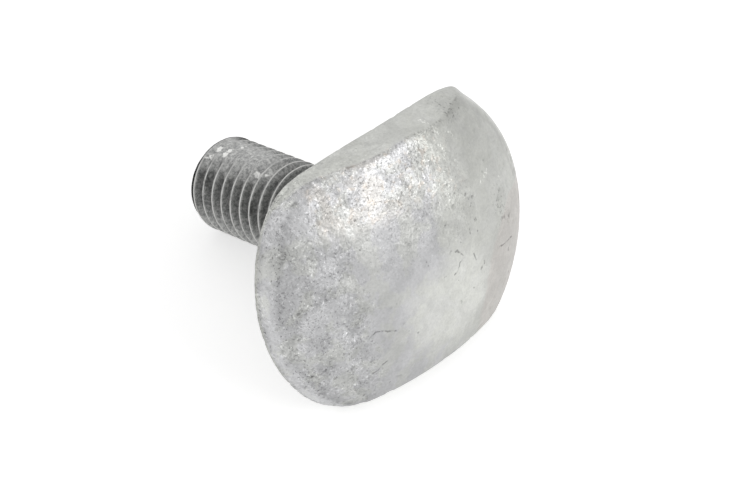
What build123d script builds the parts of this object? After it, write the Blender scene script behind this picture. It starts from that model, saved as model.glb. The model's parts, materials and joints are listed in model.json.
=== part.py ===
"""A fence bolt with a very wide domed head, forged in one piece, lying on its side.

The shank lies in the XZ plane. It points away from the head towards -X and slopes down, because
the bolt rests on the lower flat of its head and on the tip of its shank. Z is up, and the
surface that it lies on is at Z = 0, under the middle of the bolt.
"""

from build123d import *
from math import asin, atan2, cos, hypot, radians, sin, sqrt, tan
import os

# Shank, in millimetres. The diameter is the outside of the thread.
shank_diameter = 11.7
shank_length = 30.0
tip_chamfer = 0.9
neck_chamfer = 0.7

# Head: a round dome with two opposite sides cut flat. All its sides lean in by the draft.
head_diameter = 39.8
width_over_flats = 30.0
head_height = 8.5
rim_height = 1.0
corner_radius = 8.0
edge_radius = 0.4
draft = 4.5

# Crown: one arc over the middle, then a much tighter one that drops to the rim.
crown_radius = 34.0
crown_reach = 17.0

shank_radius = shank_diameter / 2
head_radius = head_diameter / 2

# The slope of the shank: the line under the bolt touches the outer edge of the tip's chamfer
# and the rounded underside edge of the lower flat.
edge_inset = edge_radius * tan(radians(45 - draft / 2))
run = shank_length + edge_radius - tip_chamfer
rise = width_over_flats / 2 - edge_inset - shank_radius
slope = atan2(rise, run) + asin(edge_radius / hypot(rise, run))
along = Vector(cos(slope), 0, sin(slope))
down = Vector(sin(slope), 0, -cos(slope))

# Both planes start at the centre of the tip, with x on the way down to the lower flat. The shank
# rises out of the first one, and runs along y in the second.
across_shank = Plane(origin=(0, 0, 0), x_dir=down, z_dir=along)
through_shank = Plane(origin=(0, 0, 0), x_dir=down, z_dir=(0, -1, 0))
shank_axis = Axis((0, 0, 0), along)


def is_neck(edge):
    """Says whether a round edge is as wide as the shank."""
    return abs(edge.radius - shank_radius) < 0.01


with BuildPart() as bolt:
    # The head seen from its end: a circle with two flats, its corners rounded.
    with BuildSketch(across_shank.offset(shank_length)) as outline:
        Circle(head_radius)
        Rectangle(width_over_flats, head_diameter, mode=Mode.INTERSECT)
        fillet(outline.vertices(), corner_radius)
    extrude(amount=head_height, taper=draft)

    # The dome that cuts that block down. Its skirt runs on past the rim at the same slope.
    crown_top = shank_length + head_height
    crown_drop = crown_radius - sqrt(crown_radius**2 - crown_reach**2)
    crown_end = Vector(crown_reach, crown_top - crown_drop)
    rim_top = Vector(head_radius, shank_length + rim_height)
    with BuildSketch(through_shank) as dome_section:
        with BuildLine() as dome_outline:
            crown = RadiusArc((0, crown_top), crown_end, crown_radius)
            shoulder = TangentArc(crown_end, rim_top, tangent=crown % 1)
            skirt = Line(rim_top, rim_top + (shoulder % 1) * head_height)
            Polyline(skirt @ 1, (0, (skirt @ 1).Y), (0, crown_top))
        make_face()
    revolve(axis=shank_axis, mode=Mode.INTERSECT)

    # The edge round the underside is worn round. The one along the crown stays crisp.
    underside = bolt.faces().sort_by(shank_axis)[0]
    fillet(underside.edges(), edge_radius)

    # The shank, with its chamfered tip and the small cone where it meets the head.
    with BuildSketch(across_shank):
        Circle(shank_radius)
    extrude(amount=shank_length + rim_height)
    tip = bolt.faces().sort_by(shank_axis)[0]
    chamfer(tip.edges(), tip_chamfer)
    neck = bolt.edges().filter_by(GeomType.CIRCLE).filter_by(is_neck).sort_by(shank_axis)[-1]
    chamfer(neck, neck_chamfer)

# Moved so that the middle of its footprint is at the origin.
box = bolt.part.bounding_box()
bolt.part.position -= Vector(box.center().X, box.center().Y, box.min.Z)

bolt.part.label = "bolt"
os.makedirs("parts", exist_ok=True)
export_step(bolt.part, "parts/bolt.step")
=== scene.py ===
"""The look of the fence bolt: its thread, its forged and galvanised skin, and a plain studio.

The bolt is one closed mesh, built of rings round the axis of its shank. Points are first worked
out in millimetres in the bolt's own axes: x runs from the shank's axis to the lower flat of the
head, y along the flats, and z from the tip of the shank to the crown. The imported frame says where
those axes lie, and the mesh is moved there, in metres.
"""

import json
from math import cos, pi, radians, sin, sqrt, tan

import bmesh
import bpy
import numpy as np
from mathutils import Matrix, Vector, noise


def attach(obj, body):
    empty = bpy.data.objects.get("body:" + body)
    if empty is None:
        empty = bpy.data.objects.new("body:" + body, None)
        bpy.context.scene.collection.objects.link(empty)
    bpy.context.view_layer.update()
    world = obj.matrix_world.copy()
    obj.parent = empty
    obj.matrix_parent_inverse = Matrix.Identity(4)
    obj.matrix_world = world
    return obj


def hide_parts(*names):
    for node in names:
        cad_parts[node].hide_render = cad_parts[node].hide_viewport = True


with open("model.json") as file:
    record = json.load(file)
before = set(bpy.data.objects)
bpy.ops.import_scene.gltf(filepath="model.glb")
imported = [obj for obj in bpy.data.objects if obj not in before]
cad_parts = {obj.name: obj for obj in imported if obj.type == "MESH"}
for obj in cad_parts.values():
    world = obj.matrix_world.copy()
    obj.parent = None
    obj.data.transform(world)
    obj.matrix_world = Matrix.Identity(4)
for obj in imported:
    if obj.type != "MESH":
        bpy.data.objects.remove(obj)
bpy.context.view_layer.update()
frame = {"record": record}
mounts = {mount["name"]: mount for mount in frame["record"]["mounts"]}
MM = 0.001

# The bolt, in millimetres and degrees. The shank's radius comes from the frame.
shank_radius = mounts["shank"]["dims"]["r_mm"]
shank_length = 30.0
tip_chamfer, tip_drop = 0.9, 0.78
neck_cone = 0.7
head_radius = 19.9
half_width = 15.0
head_height = 8.5
rim_height = 1.0
common_corner_radius = 8.0
tight_corner_radius = 6.0
burr, burr_angle, burr_spread = 0.34, radians(134.5), radians(3.5)
edge_radius = 0.4
draft = tan(radians(4.5))
crown_radius = 34.0
crown_reach = 17.0

# A metric coarse thread, right-hand.
pitch = 1.75
thread_depth = 0.6134 * pitch
crest_width = pitch / 8
flank_slope = tan(radians(60))
thread_fade = 1.1
thread_phase = 0.13

# The mesh: columns round the head and round the shank, and the spacing of the crown's rings.
head_columns = 576
shank_columns = 144
ring_spacing = 0.19

neck_radius = shank_radius + neck_cone
seat = Vector(mounts["seat"]["pos_m"])
along = -Vector(mounts["seat"]["axis"]).normalized()
across = Vector((0, 1, 0))
down = across.cross(along)
tip_centre = Vector((seat.x, 0, seat.z)) - along * shank_length * MM


def smooth_step(low, high, value):
    """Goes smoothly from 0 at low to 1 at high."""
    t = np.clip((value - low) / (high - low), 0, 1)
    return t * t * (3 - 2 * t)


def hump(*offsets):
    """1 where all the offsets are 0, and near 0 where one of them is well over 1."""
    return np.exp(-sum(offset**2 for offset in offsets))


def bump_noise(points, size, seed):
    """Smooth noise from -1 to 1 at each point, with features of that size in millimetres."""
    shift = Vector((seed * 17.3, seed * 5.9, seed * 31.7))
    return np.array([noise.noise(Vector(p) / size + shift) for p in points])


# The head's section and outline.

def outline_radius(theta, inset):
    """How far the head's side is from the axis in direction theta, inset that far from its edge."""
    c, s = np.abs(np.cos(theta)), np.abs(np.sin(theta))
    tight = (np.cos(theta) < 0) & (np.sin(theta) > 0)
    corner_radius = np.where(tight, tight_corner_radius, common_corner_radius)
    centre_x = half_width - corner_radius
    centre_y = np.sqrt((head_radius - corner_radius)**2 - centre_x**2)
    flat = (half_width - inset) / np.maximum(c, 1e-9)
    reach = centre_x * c + centre_y * s
    corner = reach + np.sqrt(
        np.maximum(reach**2 - centre_x**2 - centre_y**2 + (corner_radius - inset)**2, 0))
    on_flat = flat * s <= centre_y
    on_corner = s * centre_x < c * centre_y
    swell = burr * hump((np.mod(theta, 2 * pi) - burr_angle) / burr_spread)
    return swell + np.where(on_flat, flat, np.where(on_corner, corner, head_radius - inset))


# The dome's section: the crown's arc, and then the shoulder's, which is tangent to it.
crown_top = shank_length + head_height
crown_rise = sqrt(crown_radius**2 - crown_reach**2)
crown_end = np.array([crown_reach, crown_top - crown_radius + crown_rise])
rim_top = np.array([head_radius, shank_length + rim_height])
end_normal = np.array([crown_reach, crown_rise]) / crown_radius
shoulder_radius = np.sum((crown_end - rim_top)**2) / (2 * np.dot(crown_end - rim_top, end_normal))
shoulder_centre = crown_end - end_normal * shoulder_radius


def crown_height(radius):
    """How far along the axis the dome lies at that distance from it."""
    crown = crown_top - crown_radius + np.sqrt(np.maximum(crown_radius**2 - radius**2, 0))
    fall = np.maximum(shoulder_radius**2 - (radius - shoulder_centre[0])**2, 0)
    return np.where(radius < crown_reach, crown, shoulder_centre[1] + np.sqrt(fall))


def crown_lift(x, y):
    """The forging's unevenness: the crown dips a little at one end of the upper flat."""
    return -1.0 * hump((x + 15.5) / 3.0, (y + 8.1) / 3.3)


def side_lean(theta, height):
    """How much further in the upper flat lies than the draft alone would put it. It is a little
    askew, and it leans in more towards its +Y end."""
    y = head_radius * np.sin(theta)
    upper = smooth_step(0.1, 0.6, -np.cos(theta))
    askew = np.clip(0.02 * y + 0.09, 0.0, 0.2) * smooth_step(18, 14, np.abs(y))
    return upper * (askew + 0.24 * height * smooth_step(3, 13, y))


def crown_point(radius, theta):
    """A point of the crown as (radius, height)."""
    x, y = radius * np.cos(theta), radius * np.sin(theta)
    return np.array([radius, crown_height(radius) + crown_lift(x, y)])


def side_radius(height, theta):
    """How far the head's side is from the axis at that height above its underside."""
    return outline_radius(theta, height * draft + side_lean(theta, height))


def side_point(height, theta):
    """A point of the head's side at that height above its underside."""
    return np.array([side_radius(height, theta), shank_length + height + 0 * theta])


def arc(start, corner, end, steps):
    """Points of a rounded corner, without its start and with its end."""
    a, b = start - corner, end - corner
    cosine = np.sum(a * b, 0) / np.sqrt(np.sum(a * a, 0) * np.sum(b * b, 0))
    weight = np.sqrt((1 - cosine) / 2)
    points = []
    for t in np.linspace(0, 1, steps + 1)[1:]:
        w = np.array([(1 - t)**2, 1.0, t**2])
        mid = 2 * t * (1 - t) * weight
        points.append((w[0] * start + mid * corner + w[2] * end) / (w[0] + mid + w[2]))
    return points


class Rings:
    """Collects rings of points and the faces between them."""

    def __init__(self):
        self.points = []
        self.faces = []

    def ring(self, radius, height, theta):
        """Adds a ring and returns the numbers of its points."""
        first = len(self.points)
        xyz = np.stack([radius * np.cos(theta), radius * np.sin(theta), height + 0 * theta], 1)
        self.points.extend(xyz.tolist())
        return list(range(first, first + len(theta)))

    def join(self, a, b):
        """Fills the strip between two rings. One of them may have twice the points of the other."""
        if len(a) == len(b):
            for i in range(len(a)):
                j = (i + 1) % len(a)
                self.faces.append((a[i], a[j], b[j], b[i]))
            return
        fine, coarse = (a, b) if len(a) > len(b) else (b, a)
        for i in range(len(coarse)):
            j = (i + 1) % len(coarse)
            left, middle, right = fine[2 * i], fine[2 * i + 1], fine[(2 * i + 2) % len(fine)]
            self.faces.append((coarse[i], left, middle))
            self.faces.append((coarse[i], middle, coarse[j]))
            self.faces.append((coarse[j], middle, right))

    def cap(self, a, height):
        """Closes a small ring with a point on the axis."""
        top = len(self.points)
        self.points.append([0.0, 0.0, height])
        for i in range(len(a)):
            self.faces.append((a[i], a[(i + 1) % len(a)], top))


def angles(columns):
    """The directions of that many columns, evenly spaced round the axis."""
    return np.arange(columns) * (2 * pi / columns)


def head_rings(rings):
    """The crown, the rounded crease, the sides and the underside. Returns the ring at the neck."""
    theta = angles(head_columns)
    crease = np.array([outline_radius(theta, draft), 0 * theta])
    for _ in range(12):
        crease = crown_point(crease[0], theta)
        crease[0] = side_radius(crease[1] - shank_length, theta)
    crease = crown_point(crease[0], theta)

    # The crown, from the crease's rounding inwards, with half the columns each time they crowd.
    crease_round = 0.5
    start = crown_point(crease[0] - crease_round, theta)
    columns, thin_at = head_columns, 0.48
    share = 1.0
    outer = rings.ring(start[0], start[1], theta)
    last = outer
    while columns > 16:
        share -= ring_spacing / head_radius
        if share < thin_at:
            columns //= 2
            thin_at /= 2
        if share <= 0.02 or columns <= 16:
            break
        few = angles(columns)
        step = head_columns // columns
        point = crown_point(start[0][::step] * share, few)
        ring = rings.ring(point[0], point[1], few)
        rings.join(last, ring)
        last = ring
    rings.cap(last, float(crown_point(np.array([0.0]), np.array([0.0]))[1][0]))

    # The crease and the side. The side is low at the two round ends.
    height = crease[1] - shank_length
    below = np.minimum(crease_round, 0.45 * height)
    side_top = side_point(height - below, theta)
    last = outer
    for point in arc(start, crease, side_top, 6):
        ring = rings.ring(point[0], point[1], theta)
        rings.join(last, ring)
        last = ring
    side_foot = side_point(edge_radius, theta)
    for t in np.linspace(0, 1, 9)[1:]:
        rise = (height - below) * (1 - t) + edge_radius * t
        point = side_point(rise, theta)
        ring = rings.ring(point[0], point[1], theta)
        rings.join(last, ring)
        last = ring

    # The worn edge and the flat underside, which ends in the cone at the neck.
    corner = side_point(0.0, theta)
    inner = np.array([corner[0] - edge_radius, corner[1]])
    for point in arc(side_foot, corner, inner, 4):
        ring = rings.ring(point[0], point[1], theta)
        rings.join(last, ring)
        last = ring
    columns = head_columns
    for count, t in enumerate(np.linspace(0, 1, 31)[1:]):
        if count in (3, 9):
            columns //= 2
        few = angles(columns)
        edge = inner[0][::head_columns // columns]
        ring = rings.ring(edge * (1 - t) + neck_radius * t, shank_length, few)
        rings.join(last, ring)
        last = ring
    return last


# The shank.

def clogging(theta, z):
    """How far zinc fills the grooves: most on top of the shank, between its tip and its middle,
    and a little on its underside."""
    from_top = np.abs(np.mod(theta, 2 * pi) - pi)
    top = 0.92 * smooth_step(0.8, 0.25, from_top) * smooth_step(15, 9, z)
    return np.maximum(top, 0.45 * smooth_step(1.75, 2.2, from_top))


def shank_surface(theta, z):
    """Radius of the threaded shank, with its chamfered tip and its cone under the head."""
    turn = z / pitch - theta / (2 * pi) - thread_phase
    off_crest = np.abs(turn - np.round(turn)) * pitch
    depth = np.clip((off_crest - crest_width / 2) * flank_slope, 0, thread_depth)
    full_end = shank_length - neck_cone
    depth = depth * smooth_step(full_end, full_end - thread_fade, z) * (1 - clogging(theta, z))
    chamfered = shank_radius + tip_drop * (z / tip_chamfer - 1)
    return np.minimum(shank_radius - depth, chamfered)


def shank_rings(rings, neck):
    """The neck's cone, the thread and the tip, joined to the ring at the neck."""
    theta = angles(shank_columns)
    last = neck
    full_end = shank_length - neck_cone
    for t in (1 / 3, 2 / 3):
        ring = rings.ring(neck_radius - neck_cone * t + 0 * theta, shank_length - neck_cone * t, theta)
        rings.join(last, ring)
        last = ring

    # The rows follow the helix, so that each crest is a clean line. They start below the tip in
    # every column. Where a row runs past either end of the thread, its points are one with the
    # end's own.
    crest, root = crest_width / 2, crest_width / 2 + thread_depth / flank_slope
    flank = np.linspace(crest, root, 5)
    half = [0.0, *flank]
    phases = [*half, pitch / 2, *[pitch - p for p in reversed(half[1:])]]
    turns = range(-2, int(full_end / pitch) + 2)
    rows = [turn * pitch + phase for turn in turns for phase in phases]
    grid = []
    for i, angle in enumerate(theta):
        lead = (angle / (2 * pi) + thread_phase) * pitch
        column, foot, top = [], None, None
        for row in rows:
            z = row + lead
            if z <= 0:
                if foot is None:
                    foot = rings.ring(shank_surface(angle, np.array(0.0)), 0.0, np.array([angle]))[0]
                column.append(foot)
            elif z >= full_end:
                if top is None:
                    top = rings.ring(shank_surface(angle, np.array(full_end)), full_end,
                                     np.array([angle]))[0]
                column.append(top)
            else:
                column.append(rings.ring(shank_surface(angle, np.array(z)), z, np.array([angle]))[0])
        grid.append(column)
    for i in range(shank_columns):
        here = grid[i]
        if i + 1 < shank_columns:
            there = grid[i + 1]
        else:
            there = grid[0][len(phases):] + [grid[0][-1]] * len(phases)
        for j in range(len(rows) - 1):
            corners = []
            for point in (here[j], there[j], there[j + 1], here[j + 1]):
                if point not in corners:
                    corners.append(point)
            if len(corners) > 2:
                rings.faces.append(tuple(corners))
    rings.join(last, [column[-1] for column in grid])

    # The tip's flat face.
    last = [column[0] for column in grid]
    edge = np.array([np.hypot(*rings.points[p][:2]) for p in last])
    columns = shank_columns
    for count, t in enumerate(np.linspace(1, 0, 17)[1:-1]):
        if count in (6, 10, 13):
            columns //= 2
        ring = rings.ring(edge[::shank_columns // columns] * t, 0.0, angles(columns))
        rings.join(last, ring)
        last = ring
    rings.cap(last, 0.0)


# Pits in the crown, as x, y, width and depth.
pits = [
    (-13.5, 9.6, 0.3, 0.10), (-12.9, 10.3, 0.35, 0.10), (-13.2, 6.2, 0.35, 0.12),
    (-5.6, 11.1, 0.4, 0.12), (-1.2, 12.6, 0.7, 0.14), (1.6, 12.6, 0.5, 0.18),
    (2.3, 14.3, 0.7, 0.16), (-5.0, 4.7, 0.6, 0.10), (-3.6, 7.4, 0.4, 0.12),
    (-1.6, 7.5, 0.45, 0.10), (-3.6, 2.7, 0.4, 0.10), (4.8, 7.0, 0.5, 0.18),
    (7.0, 2.9, 0.35, 0.14), (7.3, -3.9, 0.5, 0.18), (6.3, -4.8, 0.3, 0.12),
    (4.9, -5.7, 0.35, 0.10), (8.0, -10.0, 0.6, 0.14), (6.9, -15.2, 0.5, 0.16),
    (8.4, -14.2, 0.5, 0.14), (-1.6, -16.7, 0.5, 0.14), (-9.4, -10.9, 0.5, 0.12),
    (-0.5, 4.2, 0.28, 0.08), (-0.9, 4.5, 0.22, 0.08), (-0.3, 2.4, 0.3, 0.10),
    (2.2, 0.9, 0.35, 0.12), (3.8, 2.8, 0.2, 0.08), (6.4, 5.3, 0.3, 0.06),
    (10.0, 13.2, 0.4, 0.10), (6.5, 13.2, 0.55, 0.10), (-7.5, 4.9, 0.4, 0.10),
    (-1.8, 13.3, 0.5, 0.14), (-0.6, 12.1, 0.45, 0.12), (0.6, 13.4, 0.4, 0.10),
    (-5.2, 7.1, 0.5, 0.12), (-4.4, 7.3, 0.35, 0.10), (-4.3, 8.1, 0.45, 0.10),
    (-3.4, 8.1, 0.35, 0.10), (0.7, 12.4, 0.45, 0.12), (1.7, 13.1, 0.5, 0.14),
    (2.7, 13.7, 0.45, 0.12), (-6.5, 12.0, 0.35, 0.10), (4.3, -10.2, 0.4, 0.10),
]

# Thin curved scratches in the crown, each a chain of points.
scratches = [
    [(0.0, 3.1), (0.1, 3.5), (0.6, 3.8), (1.2, 4.2)],
    [(1.6, 3.9), (1.7, 3.5), (2.1, 3.3), (2.6, 2.8), (2.7, 2.3)],
    [(2.1, 6.0), (3.1, 6.2)],
    [(4.1, 7.6), (4.5, 7.6)],
    [(-1.2, 6.2), (-0.6, 6.0)],
    [(4.5, 11.0), (4.8, 11.9), (5.3, 14.2)],
    [(4.7, -10.1), (4.1, -9.3), (4.6, -8.1), (5.3, -6.8)],
    [(10.0, -10.0), (9.8, -9.4), (9.2, -8.7), (9.0, -8.2)],
]

# A soft dark line inside the rim, as a chain of points.
rim_shadow = [(-7.3, 16.8), (-6.3, 17.0), (-5.2, 16.9), (-3.0, 17.3), (-0.5, 17.8)]

# Raised, bright strings of zinc in the crown, each a chain of points.
zinc_beads = [
    [(-14.1, 6.4), (-12.9, 6.8)],
    [(-12.2, 8.4), (-11.0, 8.9)],
    [(-11.9, 6.1), (-10.9, 6.6), (-10.1, 6.2)],
    [(-9.6, 7.4), (-8.7, 7.8)],
    [(-4.8, 10.1), (-4.9, 11.1), (-5.3, 11.9)],
    [(-3.3, 13.8), (-3.1, 14.0)],
]

# Drops of zinc and dark blotches on the shank, as x, y, z and width.
zinc_drops = [
    (-5.8, -0.8, 2.3, 0.7), (-5.8, -0.5, 4.0, 0.5), (-5.7, -1.3, 3.9, 0.6), (-5.3, -2.4, 2.0, 0.7),
    (-5.4, -2.2, 11.1, 0.9), (-5.5, -2.0, 12.7, 0.8), (-4.3, -4.0, 12.4, 0.4),
]
dark_blotches = [(-4.0, -4.3, 2.8, 0.8), (-3.5, -4.7, 2.9, 0.9), (-2.5, -5.3, 11.6, 1.1)]

# Pits in the upper flat, as x, y, z and width.
flat_pits = [(-14.6, 10.3, 33.3, 0.45), (-14.7, 9.9, 33.1, 0.35), (-14.7, 10.7, 33.6, 0.25),
             (-14.9, -2.4, 31.8, 0.3), (-14.7, 7.6, 33.6, 0.3)]

# A shallow line runs round the crown at this distance from its axis.
lip_radius = 18.3


def distance_to_chain(x, y, chain):
    """How far each point is from a chain of straight pieces."""
    nearest = np.full(len(x), np.inf)
    for (ax, ay), (bx, by) in zip(chain, chain[1:]):
        length = np.hypot(bx - ax, by - ay)
        t = np.clip(((x - ax) * (bx - ax) + (y - ay) * (by - ay)) / length**2, 0, 1)
        nearest = np.minimum(nearest, np.hypot(x - ax - t * (bx - ax), y - ay - t * (by - ay)))
    return nearest


def skin_zones(points):
    """The zones of the head's skin, each a mask from 0 to 1, by name."""
    x, y, z = points.T
    radius = np.hypot(x, y)
    wander = 1.4 * bump_noise(points, 3.5, 11) + 0.7 * bump_noise(points, 1.2, 12)
    uneven = 0.72 + 0.55 * bump_noise(points, 2.6, 14)
    broken = smooth_step(0.0, 0.6, bump_noise(points, 0.9, 15))
    below = crown_height(radius) + crown_lift(x, y) - z
    head = smooth_step(shank_length - 0.3, shank_length + 0.2, z)
    crown = head * smooth_step(0.6, 0.15, below)
    band = (head - crown) * (x < 0) * smooth_step(12, -12, y)

    # The rough, bright patch lies under the upper crease. The -Y side is rough too, and so, less
    # so, is the middle between them.
    patch = (crown * smooth_step(1.4, -1.4, x + 7.7 - 0.12 * (y + 3) + wander)
             * smooth_step(-13.0, -10.0, y + wander) * smooth_step(8.0, 4.5, y + wander))
    coarse = head * smooth_step(-6.0, -12.5, y + 1.5 * wander)
    middle = (crown * smooth_step(-14, -4, y) * smooth_step(11, 4, y)
              * smooth_step(3, -7, x + wander))

    # The round end at -Y: a dark, speckled wall, a pale bevel over it, and then a pitted band.
    end = head * smooth_step(-13.0, -16.0, y)
    wall = end * smooth_step(shank_length + 1.35, shank_length + 1.0, z)
    bevel = (end * (1 - wall) * smooth_step(19.1, 19.4, radius + 0.2 * wander)
             * smooth_step(-10.5, -7.5, x) * (0.75 + 0.4 * bump_noise(points, 4.0, 16)))
    pitted = end * (1 - wall) * (1 - bevel) * smooth_step(17.6, 18.4, radius + 0.3 * wander)

    # A dark line where the crown meets the upper flat, a smudge at its corner, a shadow inside
    # the rim, and pocks beside it.
    crease = head * (x < 0) * smooth_step(14.5, 12.5, np.abs(y)) * hump((below - 0.22) / 0.12)
    smudge = head * hump((x + 13.5) / 1.1, (y - 10.6) / 1.7)
    shadow = crown * hump(distance_to_chain(x, y, rim_shadow) / 0.3)
    pocks = crown * hump((x + 0.5) / 3.4, (y - 12.8) / 1.9)

    # A broken line round the crown, and the brighter rim outside it.
    line_at = np.where(y < 0, lip_radius + 0.35, lip_radius + 0.1)
    rim_from, rim_to = np.where(y < 0, 0.0, 0.4), np.where(y < 0, 0.3, 0.8)
    lip = crown * hump((radius - line_at + 0.15) / 0.35) * (0.25 + 0.7 * broken)
    rim = crown * smooth_step(line_at + rim_from, line_at + rim_to, radius)

    # The browner flank at +Y, a little darker as painted shade, and a little of its colour in the patch.
    edge_of_flank = 6.3 + 5.8 * np.exp(-(x - 1.9) / 4.5)
    flank = crown * smooth_step(-0.4, 0.5, y - edge_of_flank + 0.4 * wander) * (x > 0)
    flank = np.maximum(flank, 0.8 * patch * smooth_step(2, -6, y) * smooth_step(-0.3, 0.4, wander))

    rough = np.maximum.reduce([patch, coarse * uneven, 0.8 * middle * uneven, 0.45 * band,
                               np.full_like(x, 0.12)])
    specks = np.maximum.reduce([wall, pitted, 0.7 * coarse, 0.5 * patch, 0.6 * middle,
                                smudge, 0.9 * pocks, 0.12 + 0.1 * band])
    # Near the +Y end of the upper flat the crown is made darker: painted shade.
    pale = (crown * smooth_step(8.6, 3.6, np.hypot(x - 6.0, (y - 1.5) * 0.9) + wander)
            - 0.32 * crown * smooth_step(-3, -9, x) * smooth_step(6, 11, y)
            - 0.20 * crown * smooth_step(5, -1, y)
            + 0.40 * crown * hump((x + 5.6) / 1.7, (y + 3.0) / 3.2)
            + 0.38 * bevel - 0.25 * wall - 0.12 * pitted - 0.45 * smudge - 0.45 * shadow)
    cool = crown * smooth_step(5.0, 0.0, y + 1.6 * wander) * (1 - pale)
    return {"patch": patch, "rough": rough * (1 - 0.7 * bevel), "pale": pale, "flank": flank,
            "rim": rim, "cool": cool, "lip": lip, "specks": specks * (1 - 0.8 * bevel),
            "crease": crease}


def shank_masks(points):
    """The masks of the shank's skin, each from 0 to 1, by name."""
    x, y, z = points.T
    radius, theta = np.hypot(x, y), np.arctan2(y, x)
    end_face = z < 0.01
    shank = smooth_step(shank_length + 0.05, shank_length - 0.6, z) * (radius < neck_radius + 0.1)
    groove = np.clip((shank_radius - radius) / thread_depth, 0, 1) * shank * ~end_face
    chamfer = smooth_step(1.15, 1.0, z) * smooth_step(4.7, 5.0, radius)
    return {
        "shank": shank,
        "groove": groove,
        "clogged": shank * np.where(end_face, 1.0, clogging(theta, z)),
        # Lighter where the shank faces down: zinc fills its grooves there, and light from the floor is
        # painted on.
        "underside_fill_and_light": shank * ~end_face * smooth_step(1.75, 1.1, np.abs(theta)),
        "chamfer": shank * np.maximum(chamfer, groove * smooth_step(1.6, 1.4, z)),
    }


def weathering(points, zones):
    """How far each point lies below the ideal surface, in millimetres."""
    x, y, z = points.T
    radius = np.hypot(x, y)
    on_head = smooth_step(shank_length - 0.3, shank_length + 0.2, z)
    rough = zones["rough"]
    fine_rough = rough * (1 - 0.3 * zones["patch"])
    lumps = 0.5 + 0.5 * bump_noise(points, 5.0, 1)
    ripples = 0.5 + 0.5 * bump_noise(points, 1.7, 2)
    grain = 0.5 + 0.5 * bump_noise(points, 0.85, 3)
    fine_grain = 0.5 + 0.5 * bump_noise(points, 0.55, 5)
    cracks = smooth_step(0.2, 0.0, np.abs(bump_noise(points, 1.8, 4))) * rough**2
    nicks = smooth_step(0.25, 0.6, bump_noise(points, 1.0, 6)) * (radius > 14)
    head_wear = (0.08 * lumps + (0.01 + 0.05 * rough) * ripples + 0.07 * nicks
                 + fine_rough * (0.055 * grain + 0.025 * fine_grain) + 0.04 * cracks
                 + 0.06 * hump((radius - lip_radius) / 0.35))
    for pit_x, pit_y, width, depth in pits:
        head_wear += 0.5 * depth * hump((x - pit_x) / width, (y - pit_y) / width)
    for chain in scratches:
        head_wear += 0.02 * smooth_step(0.3, 0.0, distance_to_chain(x, y, chain))
    return on_head * head_wear + (1 - on_head) * (0.02 + 0.03 * ripples + 0.03 * grain)


def make_bolt():
    """The whole bolt as one mesh object, with its masks as attributes for the material."""
    rings = Rings()
    shank_rings(rings, head_rings(rings))
    mesh = bpy.data.meshes.new("bolt_galvanised")
    mesh.from_pydata(rings.points, [], rings.faces)
    shell = bmesh.new()
    shell.from_mesh(mesh)
    bmesh.ops.recalc_face_normals(shell, faces=shell.faces)
    shell.to_mesh(mesh)
    shell.free()
    points = np.array(rings.points)
    normals = np.zeros(len(points) * 3)
    mesh.vertex_normals.foreach_get("vector", normals)
    normals = normals.reshape(-1, 3)

    zones = skin_zones(points)
    for name, values in {**shank_masks(points), **zones}.items():
        mask = mesh.attributes.new(name, "FLOAT", "POINT")
        mask.data.foreach_set("value", values.astype(np.float32))

    # The bolt is worn after its masks are worked out, and not where it stands on the floor.
    to_frame = np.array([down, across, along])
    above_floor = (points @ to_frame * MM + np.array(tip_centre))[:, 2] / MM
    depth = weathering(points, zones) * smooth_step(0, 1.5, above_floor)
    placed = (points - normals * depth[:, None]) @ to_frame * MM + np.array(tip_centre)
    mesh.vertices.foreach_set("co", placed.astype(np.float32).ravel())
    mesh.update()
    mesh.shade_smooth()
    bolt = bpy.data.objects.new("bolt_galvanised", mesh)
    bpy.context.scene.collection.objects.link(bolt)
    return bolt


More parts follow.
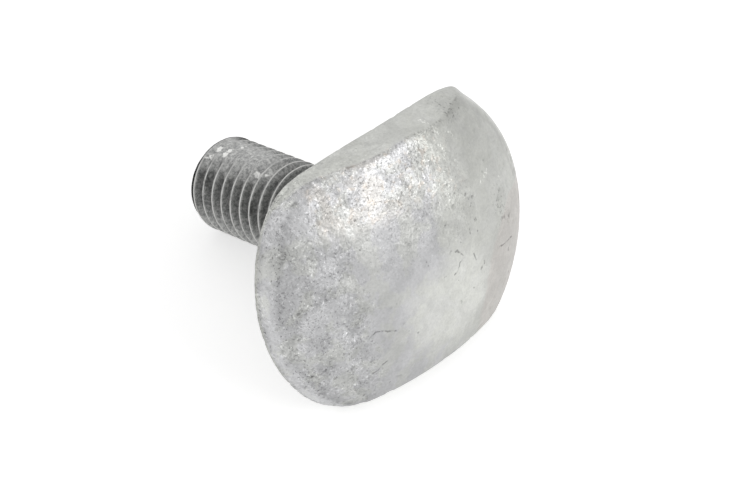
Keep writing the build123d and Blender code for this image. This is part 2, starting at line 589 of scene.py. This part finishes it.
class Graph:
    """A short way to write a material's nodes."""

    def __init__(self, name):
        self.material = bpy.data.materials.new(name)
        self.material.use_nodes = True
        self.tree = self.material.node_tree
        self.tree.nodes.clear()
        self.output = self.tree.nodes.new("ShaderNodeOutputMaterial")
        self.place = self.tree.nodes.new("ShaderNodeTexCoord").outputs["Object"]
        self.masks = {}

    def node(self, kind, inputs=None, **settings):
        """Adds a node. An input's value is a number, a colour or another node's output."""
        made = self.tree.nodes.new(kind)
        for key, value in settings.items():
            setattr(made, key, value)
        for key, value in (inputs or {}).items():
            if isinstance(value, bpy.types.NodeSocket):
                self.tree.links.new(value, made.inputs[key])
            else:
                made.inputs[key].default_value = value
        return made

    def mask(self, name):
        """One of the masks that the mesh carries."""
        if name not in self.masks:
            self.masks[name] = self.node("ShaderNodeAttribute", attribute_name=name).outputs["Fac"]
        return self.masks[name]

    def math(self, operation, *values):
        """Takes two or more values together, one after the other."""
        total = values[0]
        for value in values[1:]:
            total = self.node("ShaderNodeMath", {0: total, 1: value}, operation=operation).outputs[0]
        return total

    def plus(self, *values):
        return self.math("ADD", *values)

    def minus(self, *values):
        return self.math("SUBTRACT", *values)

    def times(self, *values):
        return self.math("MULTIPLY", *values)

    def most(self, *values):
        return self.math("MAXIMUM", *values)

    def least(self, *values):
        return self.math("MINIMUM", *values)

    def noise(self, size, detail=2.0, roughness=0.5, distortion=0.0):
        """Noise from 0 to 1 with features of that size in millimetres."""
        made = self.node("ShaderNodeTexNoise", {
            "Vector": self.place, "Scale": 1 / (size * MM), "Detail": detail,
            "Roughness": roughness, "Distortion": distortion})
        return made.outputs["Fac"]

    def spots(self, size):
        """Distance from the nearest of many scattered points, in units of their spacing."""
        made = self.node("ShaderNodeTexVoronoi", {"Vector": self.place, "Scale": 1 / (size * MM)})
        return made.outputs["Distance"]

    def winding_lines(self, size, distortion, core):
        """1 along the winding lines where a noise is at its middle, and 0 beside them."""
        off_middle = self.minus(self.noise(size, 3, 0.6, distortion), 0.5)
        off_middle = self.math("ABSOLUTE", off_middle, 0.0)
        return self.ramp(off_middle, 0.035, core)

    def ramp(self, value, low, high, start=0.0, end=1.0):
        """Goes smoothly from start, where the value is low, to end, where it is high."""
        made = self.node("ShaderNodeMapRange", {
            "Value": value, "From Min": low, "From Max": high, "To Min": start, "To Max": end},
            interpolation_type="SMOOTHSTEP")
        return made.outputs["Result"]

    def mix(self, factor, a, b, blend_type="MIX"):
        """Mixes two colours. The shader's sockets are given by number: their names repeat."""
        made = self.node("ShaderNodeMix", data_type="RGBA", blend_type=blend_type)
        for number, value in ((0, factor), (6, a), (7, b)):
            if isinstance(value, bpy.types.NodeSocket):
                self.tree.links.new(value, made.inputs[number])
            else:
                made.inputs[number].default_value = value
        return made.outputs[2]

    def vector(self, operation, a, b, output="Vector"):
        return self.node("ShaderNodeVectorMath", {0: a, 1: b}, operation=operation).outputs[output]

    def scaled(self, vector, scale):
        made = self.node("ShaderNodeVectorMath", {0: vector, "Scale": scale}, operation="SCALE")
        return made.outputs["Vector"]

    def own_axes(self):
        """The place in the bolt's own axes, x, y and z, in millimetres."""
        from_tip = self.vector("SUBTRACT", self.place, tip_centre)
        return [self.vector("DOT_PRODUCT", from_tip, axis / MM, "Value")
                for axis in (down, across, along)]

    def ragged(self, place, size, reach):
        """A place moved to and fro by up to half the reach, so that what is drawn there is ragged."""
        wobble = self.node("ShaderNodeTexNoise", {
            "Vector": self.place, "Scale": 1 / (size * MM), "Detail": 2.0}).outputs["Color"]
        shift = self.vector("SUBTRACT", wobble, (0.5, 0.5, 0.5))
        return self.vector("ADD", place, self.scaled(shift, reach))

    def off_spots(self, place, spots):
        """Distance from the nearest of some spots, each x, y, z and width, in widths."""
        return self.least(*(
            self.math("DIVIDE", self.vector("DISTANCE", place, (x, y, z), "Value"), width)
            for x, y, z, width in spots))

    def off_chains(self, place, chains):
        """Distance from the nearest of some chains of points, in millimetres."""
        distances = []
        for chain in chains:
            for start, end in zip(chain, chain[1:]):
                step = Vector((*end, 0)) - Vector((*start, 0))
                from_start = self.vector("SUBTRACT", place, (*start, 0))
                share = self.vector("DOT_PRODUCT", from_start, step / step.length_squared, "Value")
                share = self.node("ShaderNodeClamp", {"Value": share}).outputs["Result"]
                foot = self.scaled(step, share)
                distances.append(self.vector("DISTANCE", from_start, foot, "Value"))
        return self.least(*distances)


# Colours of the skin: zinc is greenish grey, with cooler clouds, browner and a little darker on
# one flank, the darkness there painted shade, and straw coloured in places.
grey_zinc, blue_zinc = (0.500, 0.505, 0.478, 1), (0.486, 0.487, 0.494, 1)
shaded_brown_zinc, straw_zinc = (0.495, 0.478, 0.455, 1), (0.54, 0.49, 0.44, 1)

# Colours of the thread, the first two pairs from their darkest to their lightest. The first pair is
# dirt and painted shade in the grooves.
groove_dirt_and_shade_colours = (0.092, 0.096, 0.095, 1), (0.34, 0.34, 0.332, 1)
filling_colours = (0.19, 0.193, 0.193, 1), (0.57, 0.57, 0.557, 1)
drop_colour, crest_colour = (0.80, 0.80, 0.78, 1), (0.62, 0.62, 0.60, 1)
blotch_colour, shadow_colour = (0.03, 0.031, 0.03, 1), (0.03, 0.032, 0.03, 1)
tip_shade_colour = (0.025, 0.026, 0.025, 1)


def marks_on_skin(g, own, flat, on_head):
    """How much darker the pits, scratches, cracks and specks make each place, from 0 to 1."""
    off_pit = g.off_spots(g.ragged(flat, 0.35, 0.85), [(x, y, 0, width) for x, y, width, _ in pits])
    off_scratch = g.off_chains(g.ragged(flat, 0.5, 0.35), scratches)
    off_flat_pit = g.off_spots(g.ragged(own, 0.35, 0.5), flat_pits)
    pitted = g.times(g.ramp(off_pit, 0.68, 0.20), g.ramp(g.noise(0.7), 0.38, 0.56, 0.35, 1.0))
    scratched = g.times(g.ramp(off_scratch, 0.155, 0.055), g.ramp(g.noise(0.6), 0.40, 0.48, 0.35, 1.0))
    cracked = g.times(g.mask("crease"), g.ramp(g.noise(0.45, 3, 0.7), 0.50, 0.60))
    specked = g.times(g.mask("specks"), g.ramp(g.noise(0.27, 2, 0.6), 0.42, 0.34))
    holes = g.ramp(g.spots(1.6), 0.05, 0.13, 1.0, 0.0)
    few = g.ramp(g.noise(2.4, 2), 0.50, 0.62, 0.0, 0.4)
    return g.most(
        g.times(pitted, on_head, 0.44), g.times(scratched, on_head, 0.46),
        g.times(g.ramp(off_flat_pit, 0.8, 0.3), 0.32), g.times(cracked, 0.38),
        g.times(specked, 0.50), g.times(g.mask("lip"), 0.30), g.times(holes, few))


def raised_zinc(g, flat, on_head):
    """The strings of zinc in the crown, broken into beads."""
    off_string = g.off_chains(g.ragged(flat, 0.4, 1.1), zinc_beads)
    return g.times(g.ramp(off_string, 0.24, 0.05), on_head, g.ramp(g.noise(0.33), 0.46, 0.60))


def skin_colour(g, marks, beads):
    """The zinc skin of the head."""
    rough, patch, cool = g.mask("rough"), g.mask("patch"), g.mask("cool")
    clouds = g.ramp(g.noise(3.2, 4, 0.6, 0.4), 0.44, 0.56)
    coolness = g.plus(g.times(clouds, g.plus(0.15, g.times(cool, 0.65))), g.times(cool, 0.35))
    stained = g.times(patch, g.ramp(g.noise(0.9, 3), 0.54, 0.68), 0.6)
    colour = g.mix(coolness, grey_zinc, blue_zinc)
    # The flank's browner colour is also a little darker: painted shade.
    colour = g.mix(g.mask("flank"), colour, shaded_brown_zinc)
    colour = g.mix(stained, colour, straw_zinc)

    # Clouds and speckle, both stronger where the skin is rough.
    half = g.times(rough, 0.11)
    cloud = g.ramp(g.noise(2.4, 4, 0.55, 0.6), 0.40, 0.60, g.minus(0.97, half), g.plus(1.03, half))
    strength = g.plus(0.25, g.minus(g.times(rough, 0.80), g.times(patch, 0.25)))
    speckle = g.plus(1.0, g.times(g.minus(g.noise(0.34, 3, 0.65), 0.5), strength))

    # Bright flecks, which are painted glints, crackle and beads, and dark veins and blots.
    glint_flecks = g.times(g.ramp(g.noise(0.36, 3, 0.7), 0.61, 0.66), rough, 0.65)
    crackle = g.times(g.winding_lines(0.8, 1.0, 0.005), g.ramp(g.noise(1.3, 3), 0.46, 0.56), rough, 0.36)
    veins = g.times(g.winding_lines(1.0, 0.8, 0.0), g.ramp(g.noise(1.7, 3), 0.50, 0.60), rough, 0.34)
    blot_depth = g.minus(0.36, g.times(patch, 0.22))
    blots = g.times(g.ramp(g.noise(0.8, 4, 0.7, 0.5), 0.40, 0.34), rough, blot_depth)
    detail = g.minus(g.plus(1.0, glint_flecks, crackle, g.times(beads, 0.5)), veins, blots)

    shade = g.times(cloud, speckle, detail, g.minus(1.0, marks))
    for zone, gain in (("patch", 0.11), ("pale", 0.28), ("rim", 0.12)):
        shade = g.times(shade, g.plus(1.0, g.times(g.mask(zone), gain)))
    shade_colour = g.node("ShaderNodeCombineColor", {"Red": shade, "Green": shade, "Blue": shade})
    return g.mix(1.0, colour, shade_colour.outputs[0], "MULTIPLY")


def thread_colour(g, own, z, shaded_tip):
    """The shank: grooves dark with dirt and painted shade, lighter where zinc fills them and where
    they face down, with painted light from the floor, thin crests worn brighter, and painted shade on
    the chamfer at the tip."""
    clogged, underside_fill_and_light = g.mask("clogged"), g.mask("underside_fill_and_light")
    # The side facing the floor is lighter too: partly zinc filling, partly painted light from the floor.
    filled = g.most(clogged, underside_fill_and_light)
    mottling = g.ramp(g.noise(0.42, 5, 0.8), 0.32, 0.70)
    # The grooves' dark colour stands for dirt and for painted shade.
    colour = g.mix(filled, g.mix(mottling, *groove_dirt_and_shade_colours), g.mix(mottling, *filling_colours))

    # Placed blotches and drops, and more drops where zinc fills the grooves.
    ragged = g.ragged(own, 0.6, 1.3)
    blotched = g.ramp(g.off_spots(ragged, dark_blotches), 1.1, 0.5, 0.0, 0.85)
    drops = g.times(g.ramp(g.noise(1.5, 4, 0.65), 0.60, 0.68), filled)
    drops = g.most(drops, g.ramp(g.off_spots(ragged, zinc_drops), 0.9, 0.5))
    colour = g.mix(blotched, colour, blotch_colour)
    colour = g.mix(drops, colour, drop_colour)

    # Crests, which don't show where zinc covers them.
    covered = g.times(clogged, g.minus(1.0, underside_fill_and_light))
    rubbing = g.ramp(g.noise(1.1, 3, 0.6), 0.30, 0.50, 0.35, 0.9)
    crest = g.times(g.ramp(g.mask("groove"), 0.07, 0.0), rubbing, g.minus(1.0, covered))
    colour = g.mix(crest, colour, crest_colour)

    # Painted shade on the tip's chamfer, and a painted shadow of the head on the half next to it.
    colour = g.mix(shaded_tip, colour, tip_shade_colour)
    return g.mix(g.ramp(z, 12.0, 17.0, 0.0, 0.15), colour, shadow_colour)


def zinc():
    """Hot-dip galvanised steel: a dull, speckled zinc skin, and a darker thread, with dirt and painted
    shade in its grooves.
    """
    g = Graph("galvanised_steel")

    # Marks in the crown are drawn as seen along the bolt, and all others in space.
    x, y, z = g.own_axes()
    own = g.node("ShaderNodeCombineXYZ", {"X": x, "Y": y, "Z": z}).outputs[0]
    flat = g.node("ShaderNodeCombineXYZ", {"X": x, "Y": y}).outputs[0]
    on_head = g.ramp(z, shank_length + 0.3, shank_length + 0.6)
    marks = marks_on_skin(g, own, flat, on_head)
    beads = raised_zinc(g, flat, on_head)
    # The tip's chamfer, dark with painted shade, and rougher and less metallic there.
    shaded_tip = g.times(g.mask("chamfer"), g.ramp(g.noise(1.4, 4, 0.6), 0.35, 0.65, 1.0, 0.8))
    colour = g.mix(g.mask("shank"), skin_colour(g, marks, beads), thread_colour(g, own, z, shaded_tip))

    grain = g.plus(g.noise(0.36, 3, 0.6), g.times(g.spots(0.4), 0.6))
    height = g.minus(g.plus(grain, beads), g.times(marks, 1.5))
    strength = g.times(g.plus(0.06, g.times(g.mask("rough"), 0.60)),
                       g.minus(1.0, g.times(g.mask("patch"), 0.25)))
    bump = g.node("ShaderNodeBump", {"Strength": strength, "Distance": 0.11 * MM, "Height": height})
    roughness = g.plus(g.ramp(g.noise(0.8, 3), 0.3, 0.7, 0.33, 0.42),
                       g.times(marks, 0.3), g.times(shaded_tip, 0.4))
    shader = g.node("ShaderNodeBsdfPrincipled", {
        "Base Color": colour, "Metallic": g.minus(0.7, g.times(shaded_tip, 0.6)),
        "Roughness": roughness, "Normal": bump.outputs["Normal"]})
    g.tree.links.new(shader.outputs[0], g.output.inputs["Surface"])
    return g.material


def white_for_the_camera(tree, strength_seen, strength_lit):
    """A strength that is one value where the camera or a reflection sees it, and another as light."""
    path = tree.nodes.new("ShaderNodeLightPath")
    seen = path.outputs["Is Camera Ray"]
    for other in ("Is Glossy Ray", "Is Transmission Ray"):
        most = tree.nodes.new("ShaderNodeMath")
        most.operation = "MAXIMUM"
        tree.links.new(seen, most.inputs[0])
        tree.links.new(path.outputs[other], most.inputs[1])
        seen = most.outputs[0]
    pick = tree.nodes.new("ShaderNodeMapRange")
    pick.inputs["To Min"].default_value = strength_lit
    pick.inputs["To Max"].default_value = strength_seen
    tree.links.new(seen, pick.inputs["Value"])
    return pick.outputs["Result"]


def make_floor():
    """A pale floor that looks white and keeps the bolt's shadow."""
    size = 3.0
    mesh = bpy.data.meshes.new("floor")
    mesh.from_pydata([(-size, -size, 0), (size, -size, 0), (size, size, 0), (-size, size, 0)], [],
                     [(0, 1, 2, 3)])
    floor = bpy.data.objects.new("floor", mesh)
    bpy.context.scene.collection.objects.link(floor)
    g = Graph("pale_floor")
    diffuse = g.node("ShaderNodeBsdfDiffuse", {"Color": (0.80, 0.80, 0.80, 1)})
    lift = g.node("ShaderNodeEmission", {"Color": (1, 1, 1, 1),
                                         "Strength": white_for_the_camera(g.tree, 0.52, 0.0)})
    both = g.node("ShaderNodeAddShader", {0: diffuse.outputs[0], 1: lift.outputs[0]})
    g.tree.links.new(both.outputs[0], g.output.inputs["Surface"])
    mesh.materials.append(g.material)


def make_world():
    """White surroundings, which light the bolt less than they look to the camera."""
    world = bpy.data.worlds.new("studio")
    bpy.context.scene.world = world
    world.use_nodes = True
    background = world.node_tree.nodes["Background"]
    background.inputs["Color"].default_value = (1, 1, 1, 1)
    strength = white_for_the_camera(world.node_tree, 1.0, 0.62)
    world.node_tree.links.new(strength, background.inputs["Strength"])


def softbox(name, azimuth, elevation, distance, width, height, power):
    """A rectangular lamp that faces the bolt. Its direction is in degrees from +X towards +Y and
    above the floor, its distance and size in metres, and its power in watts."""
    a, e = radians(azimuth), radians(elevation)
    place = Vector((cos(a) * cos(e), sin(a) * cos(e), sin(e))) * distance
    light = bpy.data.lights.new(name, "AREA")
    light.shape = "RECTANGLE"
    light.size, light.size_y = width, height
    light.energy = power
    lamp = bpy.data.objects.new(name, light)
    lamp.location = place
    lamp.rotation_euler = (-place).to_track_quat("-Z", "Y").to_euler()
    bpy.context.scene.collection.objects.link(lamp)


def make_camera():
    """The photograph's camera: above the bolt, to the side of its head."""
    heading, elevation, roll = radians(46.51), radians(43.76), radians(-0.18)
    aim, distance = Vector((0.00657, 0, 0.01205)), 0.335
    turn = (Matrix.Rotation(heading, 4, "Z") @ Matrix.Rotation(pi / 2 - elevation, 4, "X")
            @ Matrix.Rotation(roll, 4, "Z"))
    camera_data = bpy.data.cameras.new("camera")
    camera_data.lens = 142.6
    camera_data.sensor_width = 36.0
    camera_data.clip_start = 0.01
    camera = bpy.data.objects.new("camera", camera_data)
    camera.matrix_world = Matrix.Translation(aim) @ turn @ Matrix.Translation((0, 0, distance))
    bpy.context.scene.collection.objects.link(camera)
    bpy.context.scene.camera = camera


bolt = make_bolt()
bolt.data.materials.append(zinc())
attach(bolt, "root")
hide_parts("bolt")

make_floor()
make_world()
softbox("key_softbox", azimuth=17, elevation=32, distance=0.55, width=0.40, height=0.34, power=0.75)
softbox("back_softbox", azimuth=150, elevation=40, distance=0.6, width=0.5, height=0.4, power=0.22)
softbox("left_softbox", azimuth=-75, elevation=35, distance=0.6, width=0.5, height=0.4, power=0.15)
make_camera()
bpy.context.scene.view_settings.view_transform = "Standard"
